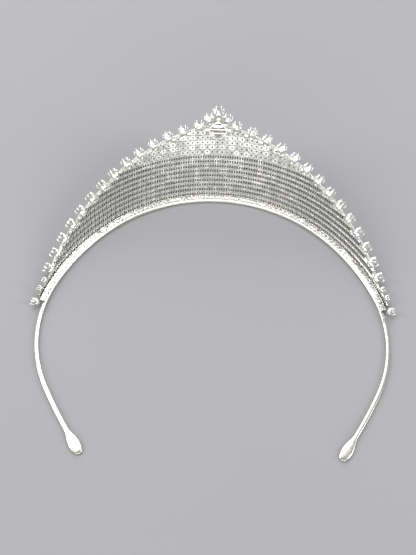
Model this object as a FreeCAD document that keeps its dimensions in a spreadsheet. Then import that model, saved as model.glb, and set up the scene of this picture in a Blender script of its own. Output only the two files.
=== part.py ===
import FreeCAD, Part
import math
import os
from FreeCAD import Placement, Rotation, Vector

# A bridal tiara. A flat band, bent to a horseshoe and hammered out into paddles at its
# two tips, carries an openwork panel that leans forward from it. The panel is rows of
# rhinestone cup chain laid one above the other and soldered edge to edge, closed by a
# crest rail that falls from the middle to both sides. Claw collets stand along the rail.
#
# Frame: +Z up, the wearer faces -Y, the band rests on Z = 0. The origin is on that
# plane, at the centre of the band's front arc.

doc = FreeCAD.newDocument("bridal_tiara")

# --- Driving dimensions: millimetres and degrees -----------------------------------

SIZES = [
    ("front_radius", 69.0, "plan radius of the band's front arc"),
    ("front_turn", 36.0, "where the front arc ends, as the turn of its normal"),
    ("shoulder_radius", 82.0, "plan radius of the flatter arc beside it"),
    ("shoulder_turn", 66.0, "where that arc ends"),
    ("side_radius", 54.0, "plan radius at the temple"),
    ("side_turn", 116.0, "where the temple arc ends"),
    ("arm_radius", 200.0, "plan radius of the nearly straight arm"),
    ("arm_turn", 121.7, "where the arm meets its paddle"),
    ("band_thickness", 1.8, "band, across"),
    ("band_height", 1.4, "band, upright"),
    ("paddle_length", 13.5, "hammered tip, along the arm"),
    ("paddle_width", 4.8, "hammered tip, across"),
    ("paddle_thickness", 1.2, "hammered tip, upright"),
    ("rail_width", 0.9, "inner base rail, across"),
    ("rail_height", 0.5, "inner base rail, upright"),
    ("rail_turn", 79.0, "where the base rail ends on each side"),
    ("border_width", 2.0, "border chain lying on the band, across"),
    ("border_turn", 77.0, "where the border chain ends"),
    ("lean", 25.0, "panel, forward from upright"),
    ("row_count", 14.0, "rows of cup chain in the panel"),
    ("row_pitch", 2.3, "one row, up the slope"),
    ("chain_thickness", 1.0, "cup chain, through the panel"),
    ("tail_turn", 75.0, "where the lowest row ends"),
    ("cup_pitch", 2.12, "cup to cup along a chain"),
    ("cup_bore", 0.85, "radius of the pocket that holds a stone"),
    ("cup_depth", 0.6, "depth of that pocket"),
    ("cup_pinhole", 0.25, "radius of the hole in the cup's back"),
    ("crest_top", 34.4, "crest above the border at the middle, up the slope"),
    ("crest_fall", 30.7, "crest: linear fall per 100 degrees of turn"),
    ("crest_bow", 58.0, "crest: square term"),
    ("crest_flare", 42.2, "crest: cube term"),
    ("crest_width", 3.2, "crest rail, up the slope"),
    ("crest_thickness", 0.6, "crest rail, which lies on the front of the rows"),
    ("crest_turn", 61.5, "where the crest rail ends"),
    ("collet_first", 5.3, "turn of the first collet beside the middle"),
    ("collet_gap", 6.9, "collet to collet along the crest"),
    ("collet_count", 14.0, "collets on each side"),
    ("collet_base", 1.6, "collet: outer radius of its base ring"),
    ("collet_mouth", 2.15, "collet: outer radius at its mouth"),
    ("collet_depth", 3.4, "collet: base ring to mouth"),
    ("collet_eye", 0.85, "collet: radius of the hole in its base"),
    ("collet_seat", 1.7, "collet: inner radius at its mouth"),
    ("claw_count", 6.0, "claws round a collet"),
    ("claw_radius", 0.32, "claw wire"),
    ("claw_rise", 1.0, "claw above the mouth"),
    ("collet_stand", 0.4, "base ring behind the panel's back"),
    ("centre_top_scale", 1.14, "topmost collet against the others"),
    ("centre_top_rise", 38.6, "topmost collet, up the slope"),
    ("centre_side_rise", 35.9, "its two neighbours, up the slope"),
    ("centre_side_reach", 3.6, "their distance from the middle plane"),
    ("centre_side_fan", 6.0, "how far they fan outward"),
    ("pear_radius", 3.9, "pear frame: outer radius of its round end"),
    ("pear_rise", 31.9, "pear frame: centre of the round end, up the slope"),
    ("pear_point", 4.0, "pear frame: round centre to point centre"),
    ("pear_point_radius", 0.9, "pear frame: outer radius of its point"),
    ("pear_wall", 0.7, "pear frame: wall"),
    ("pear_depth", 2.4, "pear frame: back to front"),
    ("pear_stand", 0.5, "pear frame behind the panel's back"),
    ("bar_width", 0.7, "cross bars behind the pear stone"),
    ("bar_pitch", 1.75, "cross bar to cross bar"),
    ("bar_count", 3.0, "cross bars"),
    ("end_turn", 76.4, "turn of the end collets"),
    ("end_rise", 1.15, "end collets, up the slope"),
    ("end_scale", 0.75, "end collets against the crest's"),
    ("tail_cup_first", 66.2, "turn of the first small tail collet"),
    ("tail_cup_step", 4.2, "turn from it to the second"),
    ("tail_cup_scale", 0.5, "tail collets against the crest's"),
]

sheet = doc.addObject("Spreadsheet::Sheet", "Sizes")
for number, (alias, value, meaning) in enumerate(SIZES, start=1):
    sheet.set(f"A{number}", meaning)
    sheet.set(f"B{number}", str(value))
    sheet.setAlias(f"B{number}", alias)
doc.recompute()


def size(alias):
    return float(getattr(sheet, alias))


def angle(alias):
    return math.radians(size(alias))


# --- The plan curve: tangent arcs, found by the turn of their normal ---------------

FRONT, RIGHT, UP = Vector(0, -1, 0), Vector(1, 0, 0), Vector(0, 0, 1)
ARC_NAMES = ["front", "shoulder", "side", "arm"]


def plan_arcs():
    """Name, centre, radius, start turn and end turn of each arc on the +X side."""
    arcs = []
    centre, start, radius = Vector(0, 0, 0), 0.0, size("front_radius")
    for name in ARC_NAMES:
        step = radius - size(f"{name}_radius")
        centre = centre + normal(start) * step
        radius = size(f"{name}_radius")
        end = angle(f"{name}_turn")
        arcs.append((name, centre, radius, start, end))
        start = end
    return arcs


def normal(turn):
    """The outward plan normal, which starts along -Y and turns towards +X."""
    return Vector(math.sin(turn), -math.cos(turn), 0)


def plan_point(turn, offset=0.0, height=0.0):
    for _name, centre, radius, _start, end in ARCS:
        if abs(turn) <= end or end == ARCS[-1][4]:
            point = centre + normal(abs(turn)) * (radius + offset)
            return Vector(math.copysign(point.x, turn) if turn else 0.0, point.y, height)


ARCS = plan_arcs()

# --- The panel: a leaning surface that starts at the border chain's outer edge -----

LEAN = angle("lean")
PANEL_FOOT = size("rail_width") - size("band_thickness") / 2 + size("border_width")
PANEL_BASE = size("band_height")


def panel_offset(rise, depth=0.0):
    """Distance out from the plan curve, and height, of a point of the panel.

    rise runs up the slope and depth runs forward through the panel from its back.
    """
    out = PANEL_FOOT + rise * math.sin(LEAN) + depth * math.cos(LEAN)
    height = PANEL_BASE + rise * math.cos(LEAN) - depth * math.sin(LEAN)
    return out, height


def panel_point(turn, rise, depth=0.0):
    return plan_point(turn, *panel_offset(rise, depth))


def panel_facing(turn):
    """The panel's forward normal."""
    return normal(turn) * math.cos(LEAN) - UP * math.sin(LEAN)


def crest_rise(turn):
    """Top edge of the crest rail, up the slope."""
    part = abs(math.degrees(turn)) / 100
    fall = size("crest_fall") + size("crest_bow") * part - size("crest_flare") * part**2
    return size("crest_top") - fall * part


def turn_where(rise):
    """Turn at which the crest has fallen to this rise."""
    low, high = 0.0, angle("tail_turn")
    for _ in range(40):
        middle = (low + high) / 2
        if crest_rise(middle) > rise:
            low = middle
        else:
            high = middle
    return low


def arc_sweep(corners, last_turn):
    """Solid of one cross-section swept round the plan arcs to both sides.

    corners are (offset from the plan curve, height) pairs.
    """
    pieces = []
    for name, centre, radius, start, end in ARCS:
        if start >= last_turn:
            break
        end = min(end, last_turn)
        first = -end if name == "front" else start
        outline = [Vector(centre.x, centre.y - radius - out, high) for out, high in corners]
        face = Part.Face(Part.makePolygon(outline + outline[:1]))
        face.rotate(centre, UP, math.degrees(first))
        piece = face.revolve(centre, UP, math.degrees(end - first))
        pieces.append(piece)
        if name != "front":
            pieces.append(piece.mirror(Vector(0, 0, 0), RIGHT))
    swept = pieces[0].fuse(pieces[1:]) if len(pieces) > 1 else pieces[0]
    return one_solid(swept.removeSplitter())


def one_solid(shape):
    """The largest solid of a shape, which leaves out slivers of a cut."""
    return max(shape.Solids, key=lambda item: item.Volume)


def real_solids(shape):
    """Every solid of a shape that is more than a sliver of a cut."""
    solids = [item for item in shape.Solids if item.Volume > SLIVER]
    return solids[0] if len(solids) == 1 else Part.makeCompound(solids)


def add_feature(label, shape):
    feature = doc.addObject("Part::Feature", label)
    feature.Label = label
    feature.Shape = shape
    feature.Placement = shape.Placement
    parts.append(feature)
    return feature


parts = []
SLIVER = 2.0

# --- Sketch helpers ----------------------------------------------------------------


def origin_plane(body, role):
    return next(item for item in body.Origin.OriginFeatures if item.Role == role)


def new_sketch(body, name, role):
    sketch = body.newObject("Sketcher::SketchObject", name)
    sketch.AttachmentSupport = (origin_plane(body, role), [""])
    sketch.MapMode = "FlatFace"
    return sketch


def bind(sketch, constraint, expression):
    """Add a named constraint's value from the sheet."""
    index = sketch.addConstraint(constraint)
    sketch.setExpression(f"Constraints[{index}]", expression)
    return index


def plan_path(body, name, last_alias):
    """Sketch of the plan curve's +X half, its radii bound to the sheet."""
    import Sketcher

    sketch = new_sketch(body, name, "XY_Plane")
    last_turn = angle(last_alias)
    previous = None
    for arc_name, centre, radius, start, end in ARCS:
        if start >= last_turn:
            break
        circle = Part.Circle(centre, UP, radius)
        quarter = math.pi / 2
        arc = Part.ArcOfCircle(circle, start - quarter, min(end, last_turn) - quarter)
        index = sketch.addGeometry(arc, False)
        bind(sketch, Sketcher.Constraint("Radius", index, radius), f"Sizes.{arc_name}_radius")
        if previous is None:
            sketch.addConstraint(Sketcher.Constraint("Coincident", index, 3, -1, 1))
            sketch.addConstraint(Sketcher.Constraint("PointOnObject", index, 1, -2))
        else:
            sketch.addConstraint(Sketcher.Constraint("Tangent", previous, 2, index, 1))
        previous = index
    return sketch


def rectangle(sketch, low, high, width, height):
    """A rectangle from its low and high corners, its two sides bound to the sheet."""
    import Sketcher

    corners = [low, Vector(high.x, low.y, 0), high, Vector(low.x, high.y, 0)]
    for here, there in zip(corners, corners[1:] + corners[:1]):
        sketch.addGeometry(Part.LineSegment(here, there), False)
    for side in range(4):
        kind = "Vertical" if side % 2 else "Horizontal"
        sketch.addConstraint(Sketcher.Constraint("Coincident", side, 2, (side + 1) % 4, 1))
        sketch.addConstraint(Sketcher.Constraint(kind, side))
    bind(sketch, Sketcher.Constraint("DistanceX", 0, 1, 0, 2, high.x - low.x), width)
    bind(sketch, Sketcher.Constraint("DistanceY", 1, 1, 1, 2, high.y - low.y), height)
    sketch.addConstraint(Sketcher.Constraint("DistanceX", -1, 1, 0, 1, low.x))
    sketch.addConstraint(Sketcher.Constraint("DistanceY", -1, 1, 0, 1, low.y))


def swept_body(label, low, high, width, height, last_alias):
    """Body: a rectangle in the middle plane, piped along the plan curve's +X half."""
    body = doc.addObject("PartDesign::Body", label)
    path = plan_path(body, f"{label}_path", last_alias)
    profile = new_sketch(body, f"{label}_profile", "YZ_Plane")
    rectangle(profile, low, high, width, height)
    doc.recompute()
    pipe = body.newObject("PartDesign::AdditivePipe", f"{label}_pipe")
    pipe.Profile = profile
    pipe.Spine = (path, [f"Edge{number}" for number in range(1, path.GeometryCount + 1)])
    pipe.Mode = "Frenet"
    doc.recompute()
    return body, pipe


def mirror_body(body, features):
    """Mirror the features across the middle plane and keep both halves as one solid."""
    mirrored = body.newObject("PartDesign::Mirrored", f"{body.Label}_mirrored")
    mirrored.Originals = features
    mirrored.MirrorPlane = (origin_plane(body, "YZ_Plane"), [""])
    mirrored.Refine = True
    body.Tip = mirrored
    doc.recompute()
    parts.append(body)


# --- Headband: flat strip on edge, with a hammered paddle at each tip ---------------


def make_headband():
    import Sketcher

    apex, half = -size("front_radius"), size("band_thickness") / 2
    low, high = Vector(apex - half, 0, 0), Vector(apex + half, size("band_height"), 0)
    body, pipe = swept_body(
        "headband", low, high, "Sizes.band_thickness", "Sizes.band_height", "arm_turn"
    )
    outline = new_sketch(body, "paddle_outline", "XY_Plane")
    tip = plan_point(angle("arm_turn"))
    along = normal(angle("arm_turn") + math.pi / 2)
    long_half, wide_half = size("paddle_length") / 2, size("paddle_width") / 2
    centre = tip + along * (long_half - 1.5)
    side = Vector(-along.y, along.x, 0)
    ellipse = Part.Ellipse(centre + along * long_half, centre + side * wide_half, centre)
    outline.addGeometry(ellipse, False)
    outline.addConstraint(Sketcher.Constraint("Block", 0))
    outline.AttachmentOffset = Placement(Vector(0, 0, 1), Rotation())
    paddle = body.newObject("PartDesign::Pad", "paddle")
    paddle.Profile = outline
    paddle.setExpression("Length", "Sizes.paddle_thickness")
    outline.setExpression(
        ".AttachmentOffset.Base.z", "(Sizes.band_height - Sizes.paddle_thickness) / 2"
    )
    doc.recompute()
    mirror_body(body, [pipe, paddle])


# --- Base rail: a smooth wire along the top of the band's inner edge ----------------


def make_base_rail():
    inner = -size("front_radius") + size("band_thickness") / 2
    low = Vector(inner - size("rail_width"), size("band_height"), 0)
    high = Vector(inner, size("band_height") + size("rail_height"), 0)
    body, pipe = swept_body(
        "base_rail", low, high, "Sizes.rail_width", "Sizes.rail_height", "rail_turn"
    )
    mirror_body(body, [pipe])


# --- Stones and cups of the chains ---------------------------------------------------


def cup_turns(offset, last_turn):
    """Turns of the cups on a row, one pitch apart, the first on the middle plane."""
    turns, turn = [], 0.0
    while turn < last_turn:
        turns += [turn, -turn] if turn else [turn]
        radius = next(arc[2] for arc in ARCS if turn < arc[4])
        turn += size("cup_pitch") / (radius + offset)
    return turns


def set_chain(solid, seats):
    """Bore a stone pocket and a pin hole at each seat: (mouth point, inward axis)."""
    bore, deep = size("cup_bore"), size("cup_depth")
    tools = []
    for mouth, inward in seats:
        tools.append(Part.makeCylinder(bore, deep, mouth, inward))
        through = size("chain_thickness")
        tools.append(Part.makeCylinder(size("cup_pinhole"), through, mouth, inward))
    return real_solids(solid.cut(tools)) if tools else solid


def chain_stones(seats):
    """Chaton stones that stand in the pockets: widest at the pocket's floor."""
    bore, deep = size("cup_bore"), size("cup_depth")
    stones = []
    for mouth, inward in seats:
        floor = mouth + inward * deep
        stones.append(Part.makeCone(bore, bore * 0.55, deep, floor, -inward))
    return Part.makeCompound(stones)


# --- Border chain: cup chain lying on the band with its stones up --------------------


def make_border():
    inner = PANEL_FOOT - size("border_width")
    floor = size("band_height")
    top = floor + size("chain_thickness")
    corners = [(inner, floor), (PANEL_FOOT, floor), (PANEL_FOOT, top), (inner, top)]
    bar = arc_sweep(corners, angle("border_turn"))
    middle = PANEL_FOOT - size("border_width") / 2
    margin = size("cup_pitch") / 2 / size("side_radius")
    turns = cup_turns(middle, angle("border_turn") - margin)
    seats = [(plan_point(turn, middle, top), -UP) for turn in turns]
    add_feature("border_chain", set_chain(bar, seats))
    add_feature("border_stones", chain_stones(seats))


# --- Collets: a conical basket with claws, one master for all of them ----------------


def make_collet_master():
    """Body of one collet, its base ring's centre at the origin and its mouth at +Z."""
    import Sketcher

    body = doc.addObject("PartDesign::Body", "collet_master")
    profile = new_sketch(body, "collet_profile", "XZ_Plane")
    depth = size("collet_depth")
    corners = [
        Vector(size("collet_eye"), 0, 0),
        Vector(size("collet_base"), 0, 0),
        Vector(size("collet_mouth"), depth, 0),
        Vector(size("collet_seat"), depth, 0),
    ]
    radii = ["collet_eye", "collet_base", "collet_mouth", "collet_seat"]
    for here, there in zip(corners, corners[1:] + corners[:1]):
        profile.addGeometry(Part.LineSegment(here, there), False)
    for side in range(4):
        joined = Sketcher.Constraint("Coincident", side, 2, (side + 1) % 4, 1)
        profile.addConstraint(joined)
    profile.addConstraint(Sketcher.Constraint("PointOnObject", 0, 1, -1))
    profile.addConstraint(Sketcher.Constraint("PointOnObject", 1, 1, -1))
    profile.addConstraint(Sketcher.Constraint("Horizontal", 2))
    bind(profile, Sketcher.Constraint("DistanceY", 1, 1, 1, 2, depth), "Sizes.collet_depth")
    for side, (corner, alias) in enumerate(zip(corners, radii)):
        radius = Sketcher.Constraint("DistanceX", -1, 1, side, 1, corner.x)
        bind(profile, radius, f"Sizes.{alias}")
    basket = body.newObject("PartDesign::Revolution", "collet_basket")
    basket.Profile = profile
    basket.ReferenceAxis = (profile, ["V_Axis"])
    basket.Angle = 360
    doc.recompute()
    foot = new_sketch(body, "claw_foot", "XY_Plane")
    reach = size("collet_mouth") - size("claw_radius") / 2
    circle = Part.Circle(Vector(reach, 0, 0), UP, size("claw_radius"))
    foot.addGeometry(circle, False)
    foot.addConstraint(Sketcher.Constraint("PointOnObject", 0, 3, -1))
    bind(foot, Sketcher.Constraint("Radius", 0, size("claw_radius")), "Sizes.claw_radius")
    across = Sketcher.Constraint("DistanceX", -1, 1, 0, 3, reach)
    bind(foot, across, "Sizes.collet_mouth - Sizes.claw_radius / 2")
    foot.AttachmentOffset = Placement(Vector(0, 0, depth * 0.7), Rotation())
    claw = body.newObject("PartDesign::Pad", "claw")
    claw.Profile = foot
    claw.setExpression("Length", "Sizes.collet_depth * 0.3 + Sizes.claw_rise")
    doc.recompute()
    claws = body.newObject("PartDesign::PolarPattern", "claws")
    claws.Originals = [claw]
    claws.Axis = (foot, ["N_Axis"])
    claws.Angle = 360
    claws.setExpression("Occurrences", "Sizes.claw_count")
    body.Tip = claws
    doc.recompute()
    return body


def stone_master():
    """A brilliant whose girdle rests in the collet's mouth: pavilion and crown."""
    girdle, level = size("collet_seat"), size("collet_depth")
    pavilion = Part.makeCone(0, girdle, girdle * 0.8, Vector(0, 0, level - girdle * 0.8), UP)
    crown = Part.makeCone(girdle, girdle * 0.55, girdle * 0.35, Vector(0, 0, level), UP)
    return one_solid(pavilion.fuse(crown).removeSplitter())


def stone_fit(stone):
    """Trim the stone where its pavilion meets the basket and the claws."""
    return one_solid(stone.cut(collet_body.Shape))


def placed(shape, point, facing, scale=1.0):
    """A copy of a master at this point, its +Z axis along facing."""
    copy = shape.copy()
    if scale != 1.0:
        copy.scale(scale)
    copy.Placement = Placement(point, Rotation(UP, facing))
    return copy


def crest_turns():
    """Turns of the crest collets on the +X side, evenly spaced along the crest."""
    turns, turn, step = [], angle("collet_first"), math.radians(0.02)
    while len(turns) < int(size("collet_count")):
        turns.append(turn)
        here, gone = panel_point(turn, crest_rise(turn)), 0.0
        while gone < size("collet_gap"):
            turn += step
            there = panel_point(turn, crest_rise(turn))
            gone += here.distanceToPoint(there)
            here = there
    return turns


def collet_seat(turn, rise):
    """Point and facing of a collet that looks level and outward."""
    facing = normal(turn)
    return panel_point(turn, rise) - facing * size("collet_stand"), facing


def centre_seats():
    """Label, point, facing and scale of the three collets over the pear frame."""
    reach, fan = size("centre_side_reach"), angle("centre_side_fan")
    side_turn = reach / (size("front_radius") + panel_offset(size("centre_side_rise"))[0])
    top = collet_seat(0.0, size("centre_top_rise"))
    seats = [("centre_top", *top, size("centre_top_scale"))]
    for word, sign in (("left", 1), ("right", -1)):
        point, _ = collet_seat(sign * side_turn, size("centre_side_rise"))
        seats.append((f"centre_{word}", point, normal(sign * (side_turn + fan)), 1.0))
    return seats


def make_collets():
    """Every collet and its stone. Returns the solids that the panel must clear."""
    rises = [(turn, crest_rise(turn)) for turn in crest_turns()]
    taken = []
    for word, sign in (("left", 1), ("right", -1)):
        seats = [collet_seat(sign * turn, rise) for turn, rise in rises]
        collets = [placed(collet_body.Shape, *seat) for seat in seats]
        add_feature(f"crest_collets_{word}", Part.makeCompound(collets))
        stones = [placed(stone_shape, *seat) for seat in seats]
        add_feature(f"crest_stones_{word}", Part.makeCompound(stones))
        taken += seats
    solids = [placed(collet_envelope, *seat) for seat in taken]
    for word, point, facing, scale in centre_seats():
        add_feature(f"{word}_collet", placed(collet_body.Shape, point, facing, scale))
        add_feature(f"{word}_stone", placed(stone_shape, point, facing, scale))
        solids.append(placed(collet_envelope, point, facing, scale))
    ends = [collet_seat(sign * angle("end_turn"), size("end_rise")) for sign in (1, -1)]
    scale = size("end_scale")
    collets = [placed(collet_body.Shape, *seat, scale) for seat in ends]
    add_feature("end_collets", Part.makeCompound(collets))
    stones = [placed(stone_shape, *seat, scale) for seat in ends]
    add_feature("end_stones", Part.makeCompound(stones))
    solids += [placed(collet_envelope, *seat, scale) for seat in ends]
    small = size("tail_cup_scale")
    rise = size("row_pitch") + size("collet_base") * small * 0.6
    seats = []
    for number in range(2):
        turn = angle("tail_cup_first") + number * angle("tail_cup_step")
        seats += [collet_seat(sign * turn, rise) for sign in (1, -1)]
    cups = [placed(collet_body.Shape, *seat, small) for seat in seats]
    add_feature("tail_collets", Part.makeCompound(cups))
    stones = [placed(stone_shape, *seat, small) for seat in seats]
    add_feature("tail_stones", Part.makeCompound(stones))
    solids += [placed(collet_envelope, *seat, small) for seat in seats]
    return solids


# --- Pear setting in the middle of the crest ----------------------------------------


def pear_wire(inset):
    """Outline of the pear: a round end, a small point and the two tangents between."""
    big, small = size("pear_radius") - inset, size("pear_point_radius") - inset
    reach = size("pear_point")
    tilt = math.asin((big - small) / reach)
    right = Vector(math.cos(tilt), math.sin(tilt), 0)
    left = Vector(-right.x, right.y, 0)
    top = Vector(0, reach, 0)
    round_end = Part.Arc(left * big, Vector(0, -big, 0), right * big)
    point_end = Part.Arc(top + right * small, top + Vector(0, small, 0), top + left * small)
    flank = Part.LineSegment(right * big, top + right * small)
    other = Part.LineSegment(top + left * small, left * big)
    return Part.Wire([edge.toShape() for edge in (round_end, flank, point_end, other)])


def pear_prism(inset, start, depth):
    face = Part.Face(pear_wire(inset))
    face.translate(Vector(0, 0, start))
    return face.extrude(Vector(0, 0, depth))


def make_pear():
    """The pear frame, its cross bars and its stone. Returns the frame's envelope."""
    slope = Vector(0, -math.sin(LEAN), math.cos(LEAN))
    seat = Placement(
        panel_point(0.0, size("pear_rise")),
        Rotation(RIGHT, slope, panel_facing(0.0), "XYZ"),
    )
    start, depth, wall = -size("pear_stand"), size("pear_depth"), size("pear_wall")
    envelope = pear_prism(0.0, start, depth)
    hollow = pear_prism(wall, start, depth)
    bars = []
    wide = 2 * size("pear_radius")
    for number in range(int(size("bar_count"))):
        level = (number - 0.6) * size("bar_pitch") - size("bar_width") / 2
        corner = Vector(-size("pear_radius"), level, start)
        box = Part.makeBox(wide, size("bar_width"), size("bar_width"), corner)
        bars.append(one_solid(box.common(hollow)))
    girdle, table = pear_wire(wall), pear_wire(wall)
    girdle.translate(Vector(0, 0, start + size("bar_width")))
    table.scale(0.7, Vector(0, size("pear_point") * 0.4, 0))
    table.translate(Vector(0, 0, start + depth + wall))
    stone = Part.makeLoft([girdle, table], True, True)
    pieces = [
        ("pear_frame", one_solid(envelope.cut(hollow))),
        ("pear_bars", Part.makeCompound(bars)),
        ("pear_stone", one_solid(stone)),
    ]
    for label, shape in pieces:
        shape.Placement = seat
        add_feature(label, shape)
    envelope.Placement = seat
    return envelope


# --- Crest rail and the rows of the panel ---------------------------------------------


def crest_halves():
    """The crest rail's halves, lofted through rectangles from the middle to their ends."""
    sections = 12
    wires = []
    back = size("chain_thickness")
    front = back + size("crest_thickness")
    for number in range(sections + 1):
        turn = angle("crest_turn") * number / sections
        top = crest_rise(turn)
        low = top - size("crest_width")
        corners = [(low, back), (top, back), (top, front), (low, front)]
        points = [panel_point(turn, *corner) for corner in corners]
        wires.append(Part.makePolygon(points + points[:1]))
    half = Part.makeLoft(wires, True, False)
    return [half, half.mirror(Vector(0, 0, 0), RIGHT)]


def near_to(shape, obstacles):
    return [item for item in obstacles if item.BoundBox.intersect(shape.BoundBox)]


def clear_of(solid, obstacles):
    """Cut away, one at a time, what overlaps the obstacles near this solid."""
    for item in near_to(solid, obstacles):
        solid = solid.cut(item)
    return real_solids(solid)


def make_row(number, obstacles):
    """One row of cup chain, ended at the crest and trimmed round the settings."""
    low = (number - 1) * size("row_pitch")
    high = low + size("row_pitch")
    last_turn = angle("tail_turn") if number == 1 else turn_where(high)
    thick = size("chain_thickness")
    corners = [(low, 0), (high, 0), (high, thick), (low, thick)]
    bar = arc_sweep([panel_offset(*corner) for corner in corners], last_turn)
    bar = clear_of(bar, obstacles)
    middle = (low + high) / 2
    offset, _ = panel_offset(middle)
    last_cup = last_turn - size("cup_pitch") / 2 / size("side_radius")
    seats = []
    for turn in cup_turns(offset, last_cup):
        mouth = panel_point(turn, middle, thick)
        inward = -panel_facing(turn)
        cup = Part.makeCylinder(size("cup_bore") * 1.05, thick, mouth, inward)
        if all(cup.common(item).Volume < 1e-6 for item in near_to(cup, obstacles)):
            seats.append((mouth, inward))
    add_feature(f"mesh_row_{number:02d}", set_chain(bar, seats))
    if seats:
        add_feature(f"mesh_row_{number:02d}_stones", chain_stones(seats))


# --- Build ------------------------------------------------------------------------------

make_headband()
make_base_rail()
make_border()
collet_body = make_collet_master()
collet_envelope = one_solid(
    Part.makeCone(size("collet_base"), size("collet_mouth"), size("collet_depth"))
)
stone_shape = stone_fit(stone_master())
obstacles = make_collets()
obstacles.append(make_pear())
rails = [clear_of(half, obstacles) for half in crest_halves()]
add_feature("crest_rail", Part.makeCompound(rails))
for row in range(1, int(size("row_count")) + 1):
    make_row(row, obstacles)
doc.recompute()

# --- Check every object, then write one file for each sub-part ---------------------------

for item in doc.Objects:
    if "Invalid" in item.State or "Error" in item.State:
        raise RuntimeError(f"{item.Label} is {item.State}")
for item in parts:
    if item.Shape.isNull() or not item.Shape.isValid():
        raise RuntimeError(f"{item.Label} has no valid shape")

os.makedirs("parts", exist_ok=True)
for item in parts:
    item.Shape.exportStep(f"parts/{item.Label}.step")
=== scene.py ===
import math
import random

import bmesh
import bpy
from mathutils import Matrix, Vector


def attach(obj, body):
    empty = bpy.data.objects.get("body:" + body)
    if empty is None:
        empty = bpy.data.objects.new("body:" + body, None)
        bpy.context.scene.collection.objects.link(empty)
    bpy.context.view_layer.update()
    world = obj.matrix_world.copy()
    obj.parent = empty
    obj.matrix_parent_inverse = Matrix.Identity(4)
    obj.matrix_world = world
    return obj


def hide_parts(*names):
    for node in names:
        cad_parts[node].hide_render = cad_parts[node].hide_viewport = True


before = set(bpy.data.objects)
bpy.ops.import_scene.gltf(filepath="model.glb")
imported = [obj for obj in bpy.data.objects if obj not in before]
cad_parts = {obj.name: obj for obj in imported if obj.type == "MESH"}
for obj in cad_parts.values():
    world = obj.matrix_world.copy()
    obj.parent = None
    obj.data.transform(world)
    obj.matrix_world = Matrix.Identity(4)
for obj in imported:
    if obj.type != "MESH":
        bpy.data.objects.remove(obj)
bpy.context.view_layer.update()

# --- Headband -----------------------------------------------------------------------------
# One strip of silver-plated metal standing on edge, rolled to an open horseshoe. Both
# tips are hammered out to rounded, glossy paddles that press behind the ears. It is
# modelled in millimetres, as every piece is, and scaled to metres when it is finished.

MM = 0.001
FRONT_RADIUS = 69.0
PLAN = [
    # radius and end turn, in degrees, of the front, the shoulder, the side and the arm
    (FRONT_RADIUS, 36.0),
    (82.0, 66.0),
    (54.0, 116.0),
    (200.0, 121.7),
]
UP = Vector((0, 0, 1))
SEAM, MIRROR_SEAM = 0.002, 0.01


def normal(turn):
    """Outward plan normal: along -Y in front, turning towards +X."""
    return Vector((math.sin(turn), -math.cos(turn), 0))


def plan_arcs():
    """Centre, radius, start turn and end turn of each tangent arc, on the +X side."""
    arcs, centre, start, radius = [], Vector((0, 0, 0)), 0.0, FRONT_RADIUS
    for new_radius, end in PLAN:
        centre = centre + normal(start) * (radius - new_radius)
        radius, end = new_radius, math.radians(end)
        arcs.append((centre, radius, start, end))
        start = end
    return arcs


ARCS = plan_arcs()


def plan_point(turn, out=0.0, height=0.0):
    """A point beside the plan curve: out along its normal, and up."""
    side = -1 if turn < 0 else 1
    for centre, radius, _start, end in ARCS:
        if abs(turn) <= end or end == ARCS[-1][3]:
            point = centre + normal(abs(turn)) * (radius + out)
            return Vector((side * point.x, point.y, height))


def select_only(piece):
    """Select this piece and nothing else, and make it the active one."""
    bpy.ops.object.select_all(action="DESELECT")
    piece.select_set(True)
    bpy.context.view_layer.objects.active = piece


def add_primitive(kind, name, **settings):
    """Add a mesh primitive by itself and name it; its place is applied to its mesh."""
    bpy.ops.object.select_all(action="DESELECT")
    getattr(bpy.ops.mesh, f"primitive_{kind}_add")(**settings)
    piece = bpy.context.object
    piece.name = name
    bpy.ops.object.transform_apply(location=True, rotation=True, scale=True)
    return piece


def pick(piece, test, kind="FACE"):
    """In edit mode, select only the faces, edges or vertices that pass the test."""
    bpy.ops.mesh.select_mode(type=kind)
    bpy.ops.mesh.select_all(action="DESELECT")
    shape = bmesh.from_edit_mesh(piece.data)
    items = {"FACE": shape.faces, "EDGE": shape.edges, "VERT": shape.verts}[kind]
    for item in items:
        item.select_set(bool(test(item)))
    shape.select_flush_mode()
    bmesh.update_edit_mesh(piece.data)


def open_mesh(piece):
    """Enter edit mode with every vertex selected."""
    select_only(piece)
    bpy.ops.object.mode_set(mode="EDIT")
    bpy.ops.mesh.select_mode(type="VERT")
    bpy.ops.mesh.select_all(action="SELECT")


def move_selected(piece, moved):
    """In edit mode, put each selected vertex where the function sends it."""
    shape = bmesh.from_edit_mesh(piece.data)
    for vertex in shape.verts:
        if vertex.select:
            vertex.co = moved(vertex.co)
    bmesh.update_edit_mesh(piece.data)


def tangent(turn):
    """Plan direction of travel, square to the outward normal."""
    facing = normal(turn)
    return Vector((-facing.y, facing.x, 0))


def band_station(turn, along=0.0, middle=0.0):
    """Where a cross-section of the band stands: its origin, out and up directions."""
    return plan_point(turn, 0.0, middle) + tangent(turn) * along, normal(turn), UP


def grow_ring(piece, old, new, widen=1.0, heighten=1.0):
    """Extrude the selected loop and carry it from one station to the next."""
    (old_origin, old_out, old_up), (new_origin, new_out, new_up) = old, new

    def carried(place):
        reach = place - old_origin
        out, high = reach.dot(old_out) * widen, reach.dot(old_up) * heighten
        return new_origin + new_out * out + new_up * high

    bpy.ops.mesh.extrude_region()
    move_selected(piece, carried)


def arc_turns(last_turn, step):
    """Turns from the front to the last one, with a station at every arc's end."""
    turns = [0.0]
    for _centre, radius, start, end in ARCS:
        if start >= last_turn:
            break
        end = min(end, last_turn)
        count = max(1, round((end - start) * radius / step))
        turns += [start + (end - start) * number / count for number in range(1, count + 1)]
    return turns


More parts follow.
